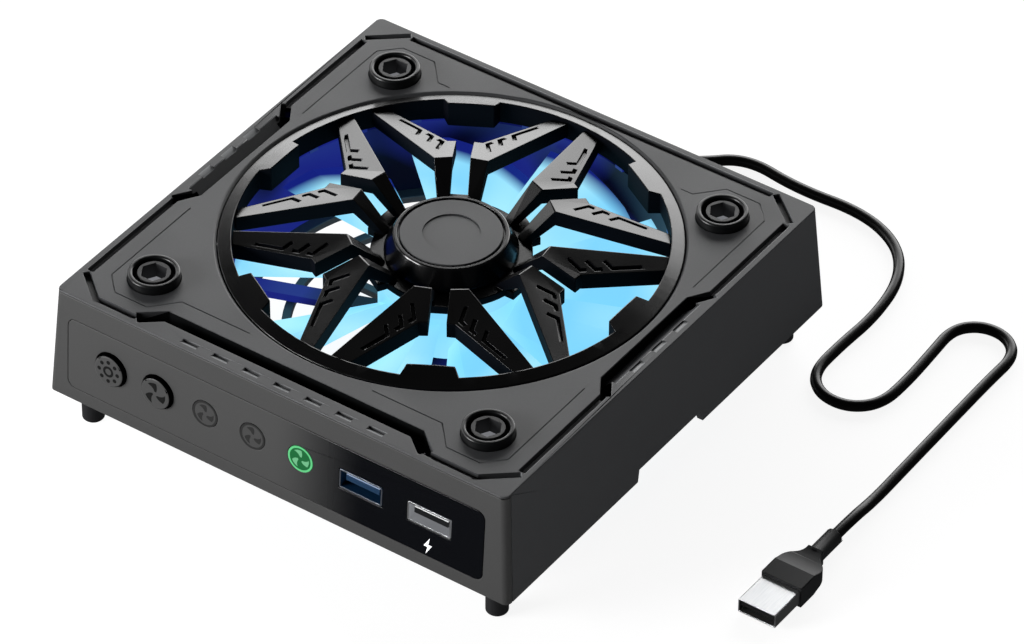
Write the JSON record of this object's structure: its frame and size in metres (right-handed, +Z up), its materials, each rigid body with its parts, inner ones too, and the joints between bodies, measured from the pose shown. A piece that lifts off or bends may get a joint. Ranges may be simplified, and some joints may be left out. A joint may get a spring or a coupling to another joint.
{
  "type": "console cooling fan",
  "caption": "Square console cooling fan: drafted black housing with a star grille over a lit axial fan, a front panel with push buttons, indicators and sockets, peg feet and a captive lead.",
  "frame": {"origin": "middle of the square body, on the surface that the four feet stand on", "axes": "+Z up, front panel faces -Y, sockets towards +X, lead leaves the back towards +Y"},
  "size_m": [0.2119, 0.2087, 0.0522],
  "materials": {
    "housing_abs": "fine moulded texture, charcoal",
    "grille_abs": "satin moulded, black",
    "window_acrylic": "polished smoked panel",
    "button_abs": "satin moulded, charcoal",
    "boss_abs": "satin moulded, black",
    "boss_rubber": "moulded, black",
    "foot_rubber": "moulded, black",
    "light_pipe": "translucent light pipe",
    "socket_steel": "nickel plated",
    "data_tongue": "moulded, blue",
    "charge_tongue": "moulded, black",
    "frame_pbt": "moulded, black",
    "rotor_translucent": "translucent moulding lit from the ring",
    "shaft_steel": "ground",
    "magnet_ferrite": "bonded ferrite",
    "stator_iron": "laminated steel",
    "copper_winding": "enamelled copper",
    "circuit_board": "solder mask, green",
    "lamp_white": "lamp lens",
    "switch_nylon": "moulded, black",
    "switch_plunger": "moulded, brown",
    "screw_steel": "black zinc",
    "lead_pvc": "smooth extruded and moulded, black",
    "plug_steel": "nickel plated",
    "plug_insert_pbt": "moulded, black"
  },
  "bodies": {
    "root": {"upper_housing": "housing_abs", "front_fascia": "housing_abs", "ring_bezel": "housing_abs", "base_cover": "housing_abs", "star_grille": "grille_abs", "hub_cap": "grille_abs", "control_window": "window_acrylic", "corner_ring_front_left": "boss_abs", "corner_ring_front_right": "boss_abs", "corner_ring_back_left": "boss_abs", "corner_ring_back_right": "boss_abs", "corner_bush_front_left": "boss_rubber", "corner_bush_front_right": "boss_rubber", "corner_bush_back_left": "boss_rubber", "corner_bush_back_right": "boss_rubber", "foot_front_left": "foot_rubber", "foot_front_right": "foot_rubber", "foot_back_left": "foot_rubber", "foot_back_right": "foot_rubber", "low_indicator": "light_pipe", "middle_indicator": "light_pipe", "high_indicator": "light_pipe", "data_socket_shell": "socket_steel", "charge_socket_shell": "socket_steel", "data_socket_tongue": "data_tongue", "charge_socket_tongue": "charge_tongue", "fan_frame": "frame_pbt", "lower_bearing": "shaft_steel", "upper_bearing": "shaft_steel", "stator_core": "stator_iron", "stator_windings": "copper_winding", "control_board": "circuit_board", "motor_board": "circuit_board", "lamp_board": "circuit_board", "lamps": "lamp_white", "indicator_lamps": "lamp_white", "light_switch": "switch_nylon", "speed_switch": "switch_nylon", "cover_screws": "screw_steel", "fan_screws": "screw_steel", "power_cord": "lead_pvc", "cord_gland": "lead_pvc", "plug_overmould": "lead_pvc", "plug_shell": "plug_steel", "plug_insert": "plug_insert_pbt"},
    "fan": {"fan_rotor": "rotor_translucent", "rotor_shaft": "shaft_steel", "magnet_ring": "magnet_ferrite"},
    "light_key": {"light_button": "button_abs", "light_switch_plunger": "switch_plunger"},
    "speed_key": {"speed_button": "button_abs", "speed_switch_plunger": "switch_plunger"}
  },
  "joints": [
    {"name": "fan_spin", "type": "hinge", "parent": "root", "child": "fan", "pos_m": [0, 0.0054, 0.03], "axis": [0, 0, 1], "continuous": true},
    {"name": "light_press", "type": "slide", "parent": "root", "child": "light_key", "axis": [0, 0.9977, -0.0678], "range_m": [0, 0.0005], "stiffness_N_per_m": 500},
    {"name": "speed_press", "type": "slide", "parent": "root", "child": "speed_key", "axis": [0, 0.9977, -0.0678], "range_m": [0, 0.0005], "stiffness_N_per_m": 500}
  ]
}
